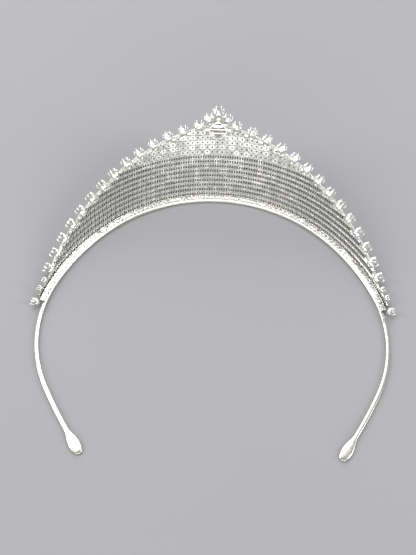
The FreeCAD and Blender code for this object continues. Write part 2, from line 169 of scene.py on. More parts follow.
def section_ring(name, section, station):
    """A closed loop at a station through (out, height) points, open for extruding."""
    piece = add_primitive("circle", name, vertices=len(section), radius=1)
    origin, outward, upward = station
    for vertex, (out, height) in zip(piece.data.vertices, section):
        vertex.co = origin + outward * out + upward * height
    open_mesh(piece)
    return piece


def run_modifier(piece, kind, **settings):
    """Add a modifier with these settings and apply it."""
    select_only(piece)
    modifier = piece.modifiers.new(kind.lower(), kind)
    for name, value in settings.items():
        setattr(modifier, name, value)
    bpy.ops.object.modifier_apply(modifier=modifier.name)


def mirror_halves(piece):
    """Leave edit mode and mirror the +X half, joined on the middle plane."""
    bpy.ops.object.mode_set(mode="OBJECT")
    run_modifier(piece, "MIRROR", use_axis=(True, False, False), merge_threshold=MIRROR_SEAM)
    face_outwards(piece)


def face_outwards(piece):
    """Close the seams and turn every face outward."""
    open_mesh(piece)
    bpy.ops.mesh.remove_doubles(threshold=SEAM)
    bpy.ops.mesh.normals_make_consistent(inside=False)
    bpy.ops.object.mode_set(mode="OBJECT")


def give(piece, materials):
    """Add these materials to the piece, in order."""
    for material in materials:
        piece.data.materials.append(material)


def finish(piece, materials, nodes=(), smooth=35):
    """Shade, scale to metres, ride on the body, and stand for the CAD nodes."""
    select_only(piece)
    if smooth:
        bpy.ops.object.shade_smooth_by_angle(angle=math.radians(smooth))
    else:
        bpy.ops.object.shade_flat()
    piece.data.transform(Matrix.Scale(MM, 4))
    give(piece, materials)
    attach(piece, "root")
    if nodes:
        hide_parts(*nodes)


class Value:
    """A shader socket that can be used in arithmetic; each operator adds a Math node."""

    def __init__(self, shader, socket):
        self.shader = shader
        self.socket = socket

    def math(self, operation, other):
        """A new Value from this one and another, by a Math node."""
        settings = {"operation": operation}
        return self.shader.node("ShaderNodeMath", settings, {0: self, 1: other})

    def __add__(self, other):
        return self.math("ADD", other)

    def __mul__(self, other):
        return self.math("MULTIPLY", other)

    __radd__ = __add__
    __rmul__ = __mul__


class Shader:
    """One material: a Principled surface whose constants sit on its own sockets."""

    def __init__(self, name, **constants):
        self.material = bpy.data.materials.new(name)
        self.material.use_nodes = True
        self.tree = self.material.node_tree
        self.surface = self.tree.nodes["Principled BSDF"]
        for key, value in constants.items():
            self.surface.inputs[key.replace("_", " ")].default_value = value

    def node(self, kind, settings, inputs, output=0):
        """Add a node of this kind and return one of its outputs as a Value."""
        made = self.tree.nodes.new(kind)
        for key, value in settings.items():
            setattr(made, key, value)
        for key, value in inputs.items():
            self.feed(made.inputs[key], value)
        return Value(self, made.outputs[output])

    def feed(self, socket, value):
        """Link a Value to the socket, or set a constant on it."""
        if isinstance(value, Value):
            self.tree.links.new(value.socket, socket)
        else:
            socket.default_value = value

    def noise(self, scale, detail=2.0):
        """Cloudy values from 0 to 1 that stay fixed to the piece."""
        place = self.node("ShaderNodeTexCoord", {}, {}, "Object")
        inputs = {"Vector": place, "Scale": scale, "Detail": detail}
        return self.node("ShaderNodeTexNoise", {}, inputs, "Fac")

    def stretched(self, value, low, high):
        """The value spread so that low becomes 0 and high becomes 1."""
        inputs = {"Value": value, "From Min": low, "From Max": high}
        return self.node("ShaderNodeMapRange", {}, inputs)

    def blend(self, mask, first, second):
        """A colour between two, by the mask."""
        inputs = {0: mask, 6: (*first, 1), 7: (*second, 1)}
        return self.node("ShaderNodeMix", {"data_type": "RGBA"}, inputs, 2)

    def colour(self, mask, first, second):
        """Colour the surface with a blend of two colours."""
        self.feed(self.surface.inputs["Base Color"], self.blend(mask, first, second))

    def bump(self, height, strength, distance):
        """Raise fine relief on the surface."""
        inputs = {"Height": height, "Strength": strength, "Distance": distance}
        bumped = self.node("ShaderNodeBump", {}, inputs, "Normal")
        self.feed(self.surface.inputs["Normal"], bumped)


PATCH_SCALE, MARK_SCALE = 140.0, 1500.0
MARK_SHARE, PATCH_RELIEF, MARK_DEPTH = 0.6, 0.5, 0.00004


def silver(name, clean, dull, polish, spread, hammer):
    """Silver plate: duller and yellower in soft patches, with handling marks."""
    shader = Shader(name, Metallic=1.0, Coat_Roughness=0.1)
    patches = shader.noise(PATCH_SCALE, 4.0)
    marks = shader.noise(MARK_SCALE, 3.0)
    shader.colour(patches, clean, dull)
    wear_and_glints = patches * spread + marks * spread * MARK_SHARE
    shader.feed(shader.surface.inputs["Roughness"], wear_and_glints + polish)
    shader.bump(marks + patches * PATCH_RELIEF, hammer, MARK_DEPTH)
    return shader.material


BAND_THICK, BAND_HIGH, BAND_ROUND, BAND_STEP = 1.8, 1.4, 0.3, 3.0
PADDLE_STATIONS = [
    # distance past the arm's end, width and height against the strip's
    (1.6, 1.08, 0.98),
    (3.2, 1.55, 0.92),
    (5.2, 2.20, 0.86),
    (7.4, 2.60, 0.84),
    (9.4, 2.50, 0.82),
    (10.9, 2.00, 0.80),
    (11.8, 1.20, 0.70),
    (12.1, 0.40, 0.45),
]


def rounded_section(half_wide, low, high, corner, per_corner=3):
    """A rectangle with rounded corners, as (out, height) points."""
    points = []
    corners = [(half_wide, high), (-half_wide, high), (-half_wide, low), (half_wide, low)]
    for quarter, (out, height) in enumerate(corners):
        centre_out = out - math.copysign(corner, out)
        centre_high = height - corner if height == high else height + corner
        for number in range(per_corner):
            turn = math.radians(quarter * 90 + 90 * number / (per_corner - 1))
            across, up = corner * math.cos(turn), corner * math.sin(turn)
            points.append((centre_out + across, centre_high + up))
    return points


def sweep_band(piece, last_turn, middle):
    """Carry the open section along the band's plan from the front to the last turn."""
    here = band_station(0.0, 0.0, middle)
    for turn in arc_turns(last_turn, BAND_STEP)[1:]:
        there = band_station(turn, 0.0, middle)
        grow_ring(piece, here, there)
        here = there


def sweep_tip(piece, turn, middle, stations):
    """Carry it straight on through a tip's stations, close it, and mirror the piece."""
    here, last_wide, last_high = band_station(turn, 0.0, middle), 1.0, 1.0
    for along, wide, high in stations:
        there = band_station(turn, along, middle)
        grow_ring(piece, here, there, wide / last_wide, high / last_high)
        here, last_wide, last_high = there, wide, high
    bpy.ops.mesh.edge_face_add()
    mirror_halves(piece)


arm_turn = ARCS[-1][3]
half_high = BAND_HIGH / 2
band_section = rounded_section(BAND_THICK / 2, -half_high, half_high, BAND_ROUND)
band = section_ring("headband_strip", band_section, band_station(0.0, 0.0, half_high))
sweep_band(band, arm_turn, half_high)
sweep_tip(band, arm_turn, half_high, PADDLE_STATIONS)
band_silver = silver("band_silver", (0.83, 0.82, 0.76), (0.70, 0.68, 0.60), 0.14, 0.16, 0.25)
finish(band, [band_silver], ["headband"], smooth=50)

# --- Base rail ----------------------------------------------------------------------------
# A smooth half-round wire soldered along the top of the band's inner edge. It ends in a
# small tapered tip on each side, before the bare arms begin.

RAIL_WIDE, RAIL_HIGH, RAIL_ROUND = 0.9, 0.5, 0.22
RAIL_TURN = math.radians(79.0)
RAIL_MIDDLE = -BAND_THICK / 2 + RAIL_WIDE / 2
RAIL_TIP = [(0.7, 1.0, 0.8), (1.3, 1.0, 0.35)]

rail_section = rounded_section(RAIL_WIDE / 2, 0, RAIL_HIGH, RAIL_ROUND)
rail_section = [(out + RAIL_MIDDLE, height) for out, height in rail_section]
rail = section_ring("base_rail_wire", rail_section, band_station(0.0, 0.0, BAND_HIGH))
sweep_band(rail, RAIL_TURN, BAND_HIGH)
sweep_tip(rail, RAIL_TURN, BAND_HIGH, RAIL_TIP)
plate_silver = silver("plate_silver", (0.95, 0.95, 0.91), (0.86, 0.85, 0.79), 0.12, 0.16, 0.3)
finish(rail, [plate_silver], ["base_rail"], smooth=50)

# --- Cup chain: cups ----------------------------------------------------------------------
# Each cup of a rhinestone chain is stamped from thin sheet: a square tray with a pocket
# for the stone, two windows or one pin hole in its back, and a claw at each corner that
# is folded over the stone. A short link joins it to the next.

CUP_PITCH = 2.12
CUP_WIDE, CUP_TALL, CUP_THICK = 1.98, 2.06, 0.95
CUP_FLOOR, CUP_WALL = 0.32, 0.2
WINDOW_RIM, WINDOW_BAR, WINDOW_SQUAT = 0.08, 0.22, 0.74
PIN_HOLE, CUP_BEVEL, RECESS_IN = 0.66, 0.09, 0.05
CLAW, CLAW_LEAN, CLAW_SINK, CLAW_SPREAD = 0.34, 0.55, 0.35, 0.4
LINK_SIZE, LINK_LEVEL = (0.3, 0.62, CUP_FLOOR * 0.7), CUP_FLOOR * 0.55
CUP_TILT = 0.035
# how near counts as level with a plane, and how squarely a face must look along an axis
SLACK, SQUARE_ON, UPWARD = 0.01, 0.9, 0.99


def extrude_by(height):
    """Extrude the selected faces straight up, or down."""
    bpy.ops.mesh.extrude_region_move(TRANSFORM_OT_translate={"value": (0, 0, height)})


def corner_claws(piece):
    """Add four little claws at the corners, leaning in over the stone."""
    level, lean = CUP_THICK + CLAW * CLAW_SINK, CLAW * CLAW_LEAN
    for side_x, side_y in ((-1, -1), (-1, 1), (1, -1), (1, 1)):
        shift = Vector((side_x * lean, side_y * lean, 0))
        corner = (side_x * CUP_WIDE * CLAW_SPREAD, side_y * CUP_TALL * CLAW_SPREAD, level)
        bpy.ops.mesh.select_all(action="DESELECT")
        bpy.ops.mesh.primitive_cube_add(size=CLAW, location=corner)
        move_selected(piece, lambda place: place - shift if place.z > level else place)


def link_bar():
    """Add the link that reaches across the gap to the next cup."""
    middle = (CUP_WIDE / 2, 0, LINK_LEVEL)
    bpy.ops.mesh.select_all(action="DESELECT")
    bpy.ops.mesh.primitive_cube_add(size=1, location=middle)
    bpy.ops.transform.resize(value=LINK_SIZE, center_override=middle)


def open_back(piece, is_back, rim, squat):
    """Pierce the back: inset it and the pocket floor over it, and bridge the pair."""
    def pierced(face):
        centre = face.calc_center_median()
        at_level = min(centre.z, abs(centre.z - CUP_FLOOR)) < SLACK
        return at_level and abs(face.normal.z) > SQUARE_ON and is_back(centre)

    pick(piece, pierced)
    bpy.ops.mesh.inset(thickness=rim, use_individual=True)
    bpy.ops.transform.resize(value=(1, squat, 1), center_override=(0, 0, 0))
    bpy.ops.mesh.bridge_edge_loops()


def chain_cup(name, windows):
    """One cup, its back at z = 0 and its stone facing +Z."""
    block = (CUP_WIDE, CUP_TALL, CUP_THICK)
    piece = add_primitive("cube", name, size=1, location=(0, 0, CUP_THICK / 2), scale=block)
    open_mesh(piece)
    bpy.ops.mesh.bevel(offset=CUP_BEVEL, segments=1, affect="EDGES")
    half_bar = WINDOW_BAR / 2
    if windows:
        for side in (-1, 1):
            bpy.ops.mesh.select_all(action="SELECT")
            bpy.ops.mesh.bisect(plane_co=(side * half_bar, 0, 0), plane_no=(1, 0, 0))
    pick(piece, lambda face: face.normal.z > UPWARD)
    bpy.ops.mesh.inset(thickness=CUP_WALL)
    extrude_by(CUP_FLOOR - CUP_THICK)
    if windows:
        open_back(piece, lambda centre: centre.x < -half_bar, WINDOW_RIM, WINDOW_SQUAT)
        open_back(piece, lambda centre: centre.x > half_bar, WINDOW_RIM, WINDOW_SQUAT)
    else:
        rim = (CUP_WIDE - PIN_HOLE) / 2 - CUP_BEVEL
        open_back(piece, lambda centre: abs(centre.x) < half_bar, rim, 1)
    corner_claws(piece)
    link_bar()
    bpy.ops.object.mode_set(mode="OBJECT")
    face_outwards(piece)
    # Pocket walls and the flanks that face the next cups take the near-black silver: painted
    # shade in the recesses and painted shadow lines between the cups.
    for face in piece.data.polygons:
        centre = face.center
        reach = max(abs(centre.x) - CUP_WIDE / 2, abs(centre.y) - CUP_TALL / 2)
        recess = reach < -RECESS_IN and RECESS_IN < centre.z < CUP_THICK - RECESS_IN * 2
        flank = abs(face.normal.x) > SQUARE_ON and abs(reach) < SLACK
        face.material_index = int(recess or flank)
    give(piece, [plate_silver, painted_shade_silver])
    return piece


def join(pieces):
    """Join the pieces into the first of them."""
    select_only(pieces[0])
    for piece in pieces[1:]:
        piece.select_set(True)
    if len(pieces) > 1:
        bpy.ops.object.join()


def copies(master, name, places):
    """Copies of a master at these places, each with its own mesh, joined as one piece."""
    made = []
    for place in places:
        copy = bpy.data.objects.new(name, master.data.copy())
        copy.data.transform(place)
        bpy.context.collection.objects.link(copy)
        made.append(copy)
    join(made)
    made[0].name = name
    return made[0]


def placing(point, across, up, out, scale=1.0):
    """Matrix that puts a master's X, Y and Z along three directions at a point."""
    turned = Matrix((across, up, out)).transposed().to_4x4()
    return Matrix.Translation(point) @ turned @ Matrix.Scale(scale, 4)


SETTLING_SEED = 11
hand = random.Random(SETTLING_SEED)


def settled(place):
    """The place of a cup that has settled a little out of square."""
    nod = Matrix.Rotation(hand.uniform(-CUP_TILT, CUP_TILT), 4, "X")
    return place @ nod @ Matrix.Rotation(hand.uniform(-CUP_TILT, CUP_TILT), 4, "Y")


# Near-black silver for the cups' pockets and flanks: painted shade in the recesses and painted
# shadow between the cups.
painted_shade_silver = silver("painted_shade_silver", (0.20, 0.20, 0.21), (0.02, 0.02, 0.025), 0.35, 0.2, 0.2)
window_cup = chain_cup("window_cup", True)
pin_cup = chain_cup("pin_cup", False)

# --- Cup chain: stones --------------------------------------------------------------------
# Small round chatons of clear crystal, cut with a table and eight crown facets. Their
# backs are pointed and foiled dark, painted shade that shows through the cup windows.

STONE_SIDES = 8
# radii of the girdle and the table; levels of table, girdle, lower edge and point
CHATON_RADII, CHATON_LEVELS = (0.84, 0.46), (1.12, 0.72, 0.60, 0.12)


def cut_crown(piece, level):
    """Turn the table against the girdle and split the crown into triangular facets."""
    pick(piece, lambda vertex: vertex.co.z > level, "VERT")
    half_facet = Matrix.Rotation(math.pi / STONE_SIDES, 3, "Z")
    move_selected(piece, lambda place: half_facet @ place)
    pick(piece, lambda face: abs(face.normal.z) < UPWARD and len(face.verts) == 4)
    bpy.ops.mesh.quads_convert_to_tris(quad_method="FIXED")


def round_stone(name, radii, levels):
    """A round stone: table over the girdle, an upright edge, and a pointed back."""
    (girdle, table), (top, girdle_level, edge_level, point_level) = radii, levels
    crown = top - girdle_level
    middle = (0, 0, girdle_level + crown / 2)
    cone = {"radius1": girdle, "radius2": table, "depth": crown, "location": middle}
    piece = add_primitive("cone", name, vertices=STONE_SIDES, **cone)
    open_mesh(piece)
    cut_crown(piece, top - SLACK)
    pick(piece, lambda face: face.normal.z < -UPWARD)
    extrude_by(edge_level - girdle_level)
    bpy.ops.mesh.poke(offset=edge_level - point_level)
    bpy.ops.object.mode_set(mode="OBJECT")
    face_outwards(piece)
    return piece


FIRE_SCALE, FIRE_RANGE = 900.0, (0.38, 0.62)
GLINT_AREA, GLINT_SCALE, GLINT_SHARE, GLINT_RANGE = 45.0, 700.0, 0.4, (0.44, 0.60)


def crystal(name, clear, shade, **constants):
    """Cut crystal over foil: its colour holds painted reflections, patches of light and dark."""
    coat = {"Coat_Weight": 1.0, "Coat_Roughness": 0.02}
    shader = Shader(name, Roughness=0.03, IOR=1.6, **coat, **constants)
    # The fire noise paints the light and dark reflections into the colour.
    fire = shader.noise(FIRE_SCALE, 1.0)
    shader.colour(shader.stretched(fire, *FIRE_RANGE), clear, shade)
    return shader.material


def painted_shade_backing(name, light, dark):
    """Dark foil on a stone's back: painted shade, with lighter painted glints in places."""
    shader = Shader(name, Metallic=1.0, Roughness=0.3)
    # The lighter patches in the dark foil are painted glints.
    areas, painted_glints = shader.noise(GLINT_AREA, 1.0), shader.noise(GLINT_SCALE, 2.0)
    wear_and_glints = areas * (1 - GLINT_SHARE) + painted_glints * GLINT_SHARE
    shader.colour(shader.stretched(wear_and_glints, *GLINT_RANGE), dark, light)
    return shader.material


chaton_glass = crystal("chaton_glass", (0.88, 0.88, 0.90), (0.40, 0.38, 0.44), Metallic=0.7)
chaton_shade_backing = painted_shade_backing("chaton_shade_backing", (0.42, 0.42, 0.45), (0.012, 0.01, 0.018))
chaton_master = round_stone("chaton", CHATON_RADII, CHATON_LEVELS)
# The back below the girdle takes the dark foil: painted shade seen through the cup windows.
for face in chaton_master.data.polygons:
    face.material_index = int(face.center.z < CHATON_LEVELS[1] - SLACK)
give(chaton_master, [chaton_glass, chaton_shade_backing])

# --- Border chain -------------------------------------------------------------------------
# A single run of cup chain that lies on top of the band beside the rail, stones up. It
# is the foot that the leaning panel is soldered to.

BORDER_WIDE = 2.0
BORDER_MIDDLE = RAIL_MIDDLE + RAIL_WIDE / 2 + BORDER_WIDE / 2
BORDER_TURN = math.radians(77.0)
CHAIN_END = 0.02


def cup_turns(out, last_turn):
    """Turns one cup pitch apart along a run, from the middle plane to both ends."""
    turns, turn = [], 0.0
    while turn < last_turn:
        turns += [turn, -turn] if turn else [turn]
        radius = next(arc[1] for arc in ARCS if turn < arc[3])
        turn += CUP_PITCH / (radius + out)
    return turns


def set_chain(cup, name, places, nodes):
    """A run of these cups and their stones, as two pieces."""
    finish(copies(cup, f"{name}_cups", places), [], nodes[:1])
    stones = copies(chaton_master, f"{name}_stones", places)
    finish(stones, [], nodes[1:], smooth=0)


places = []
for turn in cup_turns(BORDER_MIDDLE, BORDER_TURN - CHAIN_END):
    point = plan_point(turn, BORDER_MIDDLE, BAND_HIGH)
    places.append(settled(placing(point, tangent(turn), -normal(turn), UP)))
set_chain(pin_cup, "border_chain", places, ["border_chain", "border_stones"])

# --- Panel --------------------------------------------------------------------------------
# Fourteen rows of cup chain follow the band one above the other, edge to edge, on a
# surface that leans forward. Each row stops where the sloping crest crosses it. The
# lower rows are open-backed chain and the upper rows have closed backs with pin holes.

LEAN = math.radians(25.0)
ROW_PITCH, ROWS, OPEN_ROWS = 2.3, 14, 9
PANEL_FOOT = BORDER_MIDDLE + BORDER_WIDE / 2
TAIL_TURN = math.radians(75.0)
CREST_TOP, CREST_FALL, CREST_BOW, CREST_FLARE = 34.4, 30.7, 58.0, 42.2
PEAR_RADIUS, PEAR_RISE, PEAR_REACH = 3.9, 31.9, 4.0
PEAR_CLEAR, PEAR_TAPER = 0.75, 0.6
ROW_END, ROW_UNDER = 0.01, 0.25


def panel_point(turn, rise, depth=0.0):
    """A point of the panel: rise up the slope, depth forward from its back."""
    out = PANEL_FOOT + rise * math.sin(LEAN) + depth * math.cos(LEAN)
    return plan_point(turn, out, BAND_HIGH + rise * math.cos(LEAN) - depth * math.sin(LEAN))


def panel_slope(turn):
    """Direction up the panel's slope."""
    return normal(turn) * math.sin(LEAN) + UP * math.cos(LEAN)


def panel_facing(turn):
    """Direction that the stones in the panel face."""
    return normal(turn) * math.cos(LEAN) - UP * math.sin(LEAN)


def crest_rise(turn):
    """How far up the panel's slope the crest runs."""
    part = abs(math.degrees(turn)) / 100
    return CREST_TOP - (CREST_FALL + CREST_BOW * part - CREST_FLARE * part**2) * part


def turn_where(rise):
    """Turn at which the crest has fallen to this rise."""
    low, high = 0.0, TAIL_TURN
    for _ in range(40):
        middle = (low + high) / 2
        if crest_rise(middle) > rise:
            low = middle
        else:
            high = middle
    return low


def beside_pear(turn, rise):
    """Whether a cup stands clear of the pear frame in the middle of the crest."""
    across = abs(turn) * (FRONT_RADIUS + PANEL_FOOT + rise * math.sin(LEAN))
    up = max(0.0, rise - PEAR_RISE)
    down = min(0.0, rise - PEAR_RISE)
    return math.hypot(across + up * PEAR_TAPER, down) > PEAR_RADIUS + PEAR_CLEAR


for row in range(1, ROWS + 1):
    rise = (row - 0.5) * ROW_PITCH
    out = PANEL_FOOT + rise * math.sin(LEAN)
    last = TAIL_TURN if row == 1 else turn_where(rise + ROW_PITCH * ROW_UNDER)
    places = []
    for turn in cup_turns(out, last - ROW_END):
        if beside_pear(turn, rise):
            point = panel_point(turn, rise)
            place = placing(point, tangent(turn), panel_slope(turn), panel_facing(turn))
            places.append(settled(place))
    cup = window_cup if row <= OPEN_ROWS else pin_cup
    nodes = [f"mesh_row_{row:02d}", f"mesh_row_{row:02d}_stones"]
    nodes = [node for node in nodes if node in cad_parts]
    set_chain(cup, f"row_{row:02d}", places, nodes)

# --- Crest rail ---------------------------------------------------------------------------
# A strip of plain sheet soldered across the fronts of the row ends, one half on each side
# of the pear setting. Its upper edge carries a string of solder beads, which closes the
# stepped ends of the rows.

CREST_WIDE, CREST_THICK, CREST_ROUND = 3.2, 0.6, 0.18
CREST_BACK, CREST_TURN = 1.0, math.radians(61.5)
CREST_START, CREST_SLANT = 3.7, 0.8
CREST_STEP = math.radians(2.0)
BEAD_RADIUS, BEAD_PITCH, BEAD_RISE = 0.42, 0.95, 0.1
FINE_TURN = math.radians(0.02)


def crest_station(turn):
    """A cross-section's place on the crest: up the slope is out, and forward is up."""
    return panel_point(turn, crest_rise(turn)), panel_slope(turn), panel_facing(turn)


def slanted(place):
    """The strip's first end slid along the crest, the more the nearer its upper edge."""
    upper = 1 + (place - first[0]).dot(first[1]) / CREST_WIDE
    return place - tangent(start_turn) * CREST_SLANT * upper


def bead_point(turn):
    """Where a solder bead sits on the crest strip."""
    return panel_point(turn, crest_rise(turn) + BEAD_RISE, CREST_BACK + CREST_THICK / 2)


start_turn = CREST_START / (FRONT_RADIUS + PANEL_FOOT + CREST_TOP * math.sin(LEAN))
here = first = crest_station(start_turn)
crest_front = CREST_BACK + CREST_THICK
strip_section = rounded_section(CREST_WIDE / 2, CREST_BACK, crest_front, CREST_ROUND, 2)
strip_section = [(out - CREST_WIDE / 2, height) for out, height in strip_section]
strip = section_ring("crest_strip", strip_section, first)
bpy.ops.mesh.edge_face_add()
steps = math.ceil((CREST_TURN - start_turn) / CREST_STEP)
for number in range(1, steps + 1):
    there = crest_station(start_turn + (CREST_TURN - start_turn) * number / steps)
    grow_ring(strip, here, there)
    here = there
pick(strip, lambda vertex: (vertex.co - first[0]).dot(tangent(start_turn)) < SLACK, "VERT")
move_selected(strip, slanted)
bpy.ops.object.mode_set(mode="OBJECT")

bead = add_primitive("uv_sphere", "bead", segments=8, ring_count=5, radius=BEAD_RADIUS)
turn, points = start_turn, [bead_point(start_turn)]
while turn < CREST_TURN:
    point = bead_point(turn)
    if (point - points[-1]).length >= BEAD_PITCH:
        points.append(point)
    turn += FINE_TURN
beads = copies(bead, "crest_beads", [Matrix.Translation(point) for point in points])
join([strip, beads])
mirror_halves(strip)
finish(strip, [plate_silver], ["crest_rail"], smooth=50)

# --- Pear setting -------------------------------------------------------------------------
# The middle of the crest holds a pear-shaped stone in a wire frame, round end down and
# point up. Three short bars behind the stone stiffen the frame.

PEAR_TIP, PEAR_WIRE, PEAR_STAND = 0.9, 0.7, 0.5
PEAR_ARC, PEAR_TIP_ARC, TIP_PART = 34, 7, 0.88
BARS, BAR_WIDE, BAR_THICK, BAR_LEVEL, BAR_BEVEL = 3, 0.7, 0.6, 0.35, 0.16
BAR_PITCH, BAR_BELOW, BAR_HIGHEST = 1.75, 0.6, 2.6
PEAR_SECTION = [
    # outward from the outline, and forward from the frame's back
    (-0.58, 0.0), (-0.12, 0.0), (0.0, 0.22), (0.0, 2.3),
    (-0.1, 2.4), (-0.55, 2.4), (-0.7, 2.2), (-0.7, 0.22),
]
pear_point = panel_point(0.0, PEAR_RISE, -PEAR_STAND)
pear_place = placing(pear_point, tangent(0.0), panel_slope(0.0), panel_facing(0.0))


def pear_outline(arc, tip_arc, offset=0.0):
    """Points round the pear: the big round end, then the small one at its point."""
    spread = math.acos((PEAR_RADIUS - PEAR_TIP) / PEAR_REACH)
    points = []
    for number in range(arc):
        turn = spread + (math.tau - 2 * spread) * number / (arc - 1)
        points.append(Vector((math.sin(turn), math.cos(turn), 0)) * (PEAR_RADIUS + offset))
    for number in range(tip_arc):
        turn = -spread + 2 * spread * number / (tip_arc - 1)
        around = Vector((math.sin(turn), math.cos(turn), 0)) * (PEAR_TIP + offset)
        points.append(Vector((0, PEAR_REACH, 0)) + around)
    return points


def pear_loop(name, arc, tip_arc, offset, level):
    """A closed loop round the pear, open for extruding."""
    points = pear_outline(arc, tip_arc, offset)
    piece = add_primitive("circle", name, vertices=len(points), radius=1)
    for vertex, point in zip(piece.data.vertices, points):
        vertex.co = (point.x, point.y, level)
    open_mesh(piece)
    return piece


def grow_pear(piece, step, level, scale=1.0):
    """Extrude the loop, step it outward from the outline, and set its level."""
    def stepped(place):
        at_tip = place.y > PEAR_REACH * TIP_PART
        centre = Vector((0, PEAR_REACH if at_tip else 0, place.z))
        place = place + (place - centre).normalized() * step
        return Vector((place.x * scale, place.y * scale, level))

    bpy.ops.mesh.extrude_region()
    move_selected(piece, stepped)


first_out, first_level = PEAR_SECTION[0]
frame_wire = pear_loop("pear_wire", PEAR_ARC, PEAR_TIP_ARC, first_out, first_level)
last_out = first_out
for out, level in PEAR_SECTION[1:] + PEAR_SECTION[:1]:
    grow_pear(frame_wire, out - last_out, level)
    last_out = out
bpy.ops.object.mode_set(mode="OBJECT")
face_outwards(frame_wire)
frame_wire.data.transform(pear_place)
finish(frame_wire, [plate_silver], ["pear_frame"], smooth=40)

bars = []
for number in range(BARS):
    high = (number - BAR_BELOW) * BAR_PITCH
    reach = PEAR_RADIUS - PEAR_WIRE / 2
    long = 2 * math.sqrt(reach**2 - min(high, BAR_HIGHEST) ** 2)
    block = {"location": (0, high, BAR_LEVEL), "scale": (long, BAR_WIDE, BAR_THICK)}
    bar = add_primitive("cube", "pear_bar", size=1, **block)
    open_mesh(bar)
    bpy.ops.mesh.bevel(offset=BAR_BEVEL, segments=2, affect="EDGES")
    bpy.ops.object.mode_set(mode="OBJECT")
    bars.append(bar)
join(bars)
bars[0].data.transform(pear_place)
finish(bars[0], [plate_silver], ["pear_bars"], smooth=40)

GEM_BACK, GEM_POINT, GEM_MIDDLE = 1.55, 0.75, 2.7
GEM_ARC, GEM_TIP_ARC = 13, 3
GEM_RINGS = [
    # step from the last ring, level and taper: the girdle's upper edge, then the table
    (0.0, 1.75, 1.0),
    (-0.75, 2.75, 0.86),
]


def at_point(vertex):
    """Whether the vertex is the middle one of the stone's flat back."""
    near = vertex.co.xy.length < GEM_MIDDLE
    return near and vertex.co.z < GEM_BACK + SLACK


pear_gem = pear_loop("pear_gem", GEM_ARC, GEM_TIP_ARC, -PEAR_WIRE, GEM_BACK)
for step, level, taper in GEM_RINGS:
    grow_pear(pear_gem, step, level, taper)
bpy.ops.mesh.edge_face_add()
pick(pear_gem, lambda edge: edge.is_boundary, "EDGE")
bpy.ops.mesh.edge_face_add()
bpy.ops.mesh.poke()
pick(pear_gem, at_point, "VERT")
bpy.ops.transform.translate(value=(0, 0, -GEM_POINT))
pick(pear_gem, lambda face: len(face.verts) == 4)
bpy.ops.mesh.quads_convert_to_tris(quad_method="FIXED")
bpy.ops.object.mode_set(mode="OBJECT")
face_outwards(pear_gem)
pear_gem.data.transform(pear_place)
pear_glass = crystal("pear_glass", (0.92, 0.91, 0.86), (0.50, 0.48, 0.50), Metallic=0.6)
finish(pear_gem, [pear_glass], ["pear_stone"], smooth=0)

# --- Collets ------------------------------------------------------------------------------
# Conical baskets of cast silver: a smooth base ring with an eye, flaring walls that are
# scalloped at the mouth, and six claws whose rounded tips hold the stone.

COLLET_RINGS = [
    # radius and height of each ring, from the eye round the base and up to the mouth
    (0.85, 0.30), (0.88, 0.05), (1.05, -0.08), (1.40, -0.08), (1.60, 0.08), (1.62, 0.32),
    (1.52, 0.55), (1.62, 1.20), (1.86, 2.20), (2.10, 3.30), (1.92, 3.35), (1.70, 2.40),
    (1.30, 1.20), (0.95, 0.60),
]
COLLET_SIDES, WAIST_LEVEL, SCALLOP = 24, 0.6, 0.72
CLAWS, CLAW_RADIUS = 6, 0.3
CLAW_FOOT, CLAW_TIP = (2.02, 2.1), (1.84, 4.3)


def add_claw(piece, sweep):
    """A claw with a rounded tip: a stretched ball that leans in over the stone."""
    (foot_out, foot_up), (tip_out, tip_up) = CLAW_FOOT, CLAW_TIP
    round_axis = Matrix.Rotation(sweep, 3, "Z")

    def stretched(place):
        part = (place.z + 1) / 2
        out = foot_out + (tip_out - foot_out) * part + place.x * CLAW_RADIUS
        level = foot_up + (tip_up - foot_up) * part
        return round_axis @ Vector((out, place.y * CLAW_RADIUS, level))

    bpy.ops.mesh.select_all(action="DESELECT")
    bpy.ops.mesh.primitive_uv_sphere_add(segments=8, ring_count=6, radius=1, location=(0, 0, 0))
    move_selected(piece, stretched)


def scalloped(place):
    """A place on the wall, lowered between the claws the more the higher it stands."""
    sweep = math.atan2(place.y, place.x) * CLAWS
    lower = max(0.0, place.z - WAIST_LEVEL) * SCALLOP * (1 - math.cos(sweep)) / 2
    return place - Vector((0, 0, lower))


def collet():
    """One collet, its base ring at z = 0 and its mouth facing +Z."""
    radius, level = COLLET_RINGS[0]
    ring = {"vertices": COLLET_SIDES, "radius": radius, "location": (0, 0, level)}
    piece = add_primitive("circle", "collet", **ring)
    open_mesh(piece)
    for radius, level in COLLET_RINGS[1:] + COLLET_RINGS[:1]:
        bpy.ops.mesh.extrude_region()
        move_selected(piece, lambda place: (*(place.xy.normalized() * radius), level))
    bpy.ops.mesh.select_all(action="SELECT")
    move_selected(piece, scalloped)
    for number in range(CLAWS):
        add_claw(piece, math.tau * number / CLAWS)
    bpy.ops.object.mode_set(mode="OBJECT")
    face_outwards(piece)
    return piece


# --- Brilliants ---------------------------------------------------------------------------
# Round crystal brilliants for the collets: a table, a ring of crown facets, a girdle and
# a pointed pavilion.

# radii of the girdle and the table; levels of table, girdle, lower edge and point
BRILLIANT_RADII, BRILLIANT_LEVELS = (1.78, 1.0), (4.05, 3.35, 3.2, 2.0)
COLLET_FIRST, COLLET_GAP, COLLET_COUNT = math.radians(5.3), 6.9, 14
COLLET_STAND = 0.4
collet_master = collet()
brilliant_master = round_stone("brilliant", BRILLIANT_RADII, BRILLIANT_LEVELS)
brilliant_glass = crystal("brilliant_glass", (0.98, 0.98, 0.99), (0.62, 0.60, 0.68), Metallic=0.5)


def level_seat(turn, rise, fan=0.0, scale=1.0):
    """Placing of a collet that looks level and outward from the panel."""
    point = panel_point(turn, rise) - normal(turn) * COLLET_STAND
    return placing(point, tangent(turn + fan), UP, normal(turn + fan), scale)


